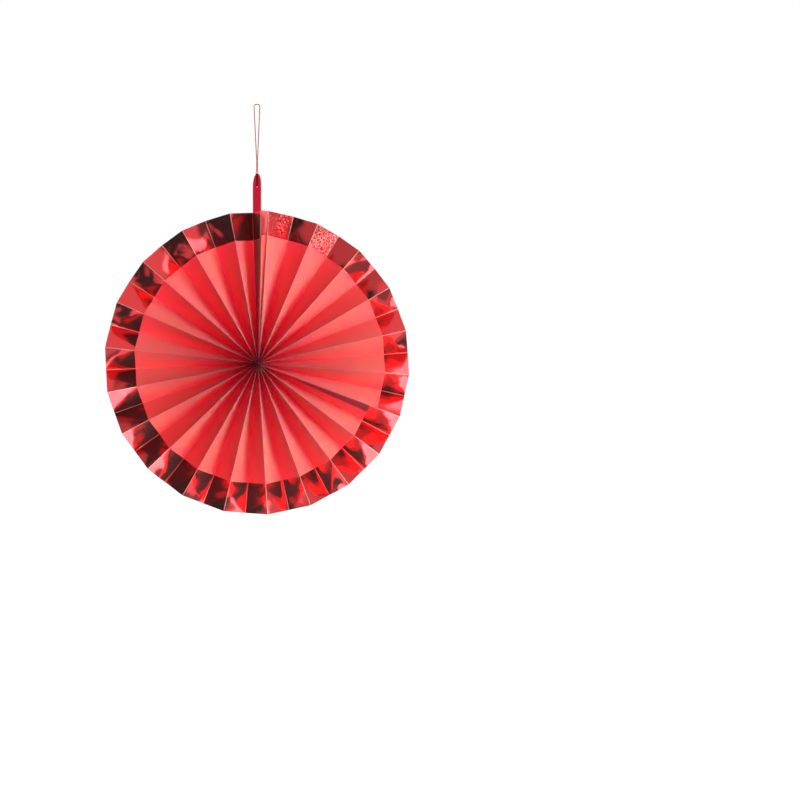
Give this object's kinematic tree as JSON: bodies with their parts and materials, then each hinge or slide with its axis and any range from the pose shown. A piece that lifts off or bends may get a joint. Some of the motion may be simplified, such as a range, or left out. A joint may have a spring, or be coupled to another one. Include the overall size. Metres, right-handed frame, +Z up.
{
  "type": "paper fan rosette",
  "caption": "Round pleated paper fan decoration with a red foil rim, closed at a seam at the top and hung from a card tab by a looped thread.",
  "frame": {"origin": "the place where the top of the thread's loop rests on a hook, straight above the middle of the tab at the rim", "axes": "+Z straight up as it hangs, -Y towards a viewer who faces the foiled front, +X to that viewer's right"},
  "size_m": [0.3005, 0.0293, 0.4071],
  "materials": {
    "red_paper": "matte dyed paper with a mirror red foil border along its outer edge",
    "foil_card": "red foil on both faces of a card with a pale cut edge",
    "adhesive_film": "clear double-sided adhesive film",
    "red_thread": "twisted red and pale thread"
  },
  "bodies": {
    "root": {"pleated_sheet_long": "red_paper", "pleated_sheet_short": "red_paper", "hang_tab": "foil_card", "seam_tape": "adhesive_film", "centre_tie": "red_thread", "hanging_thread": "red_thread"}
  },
  "joints": []
}
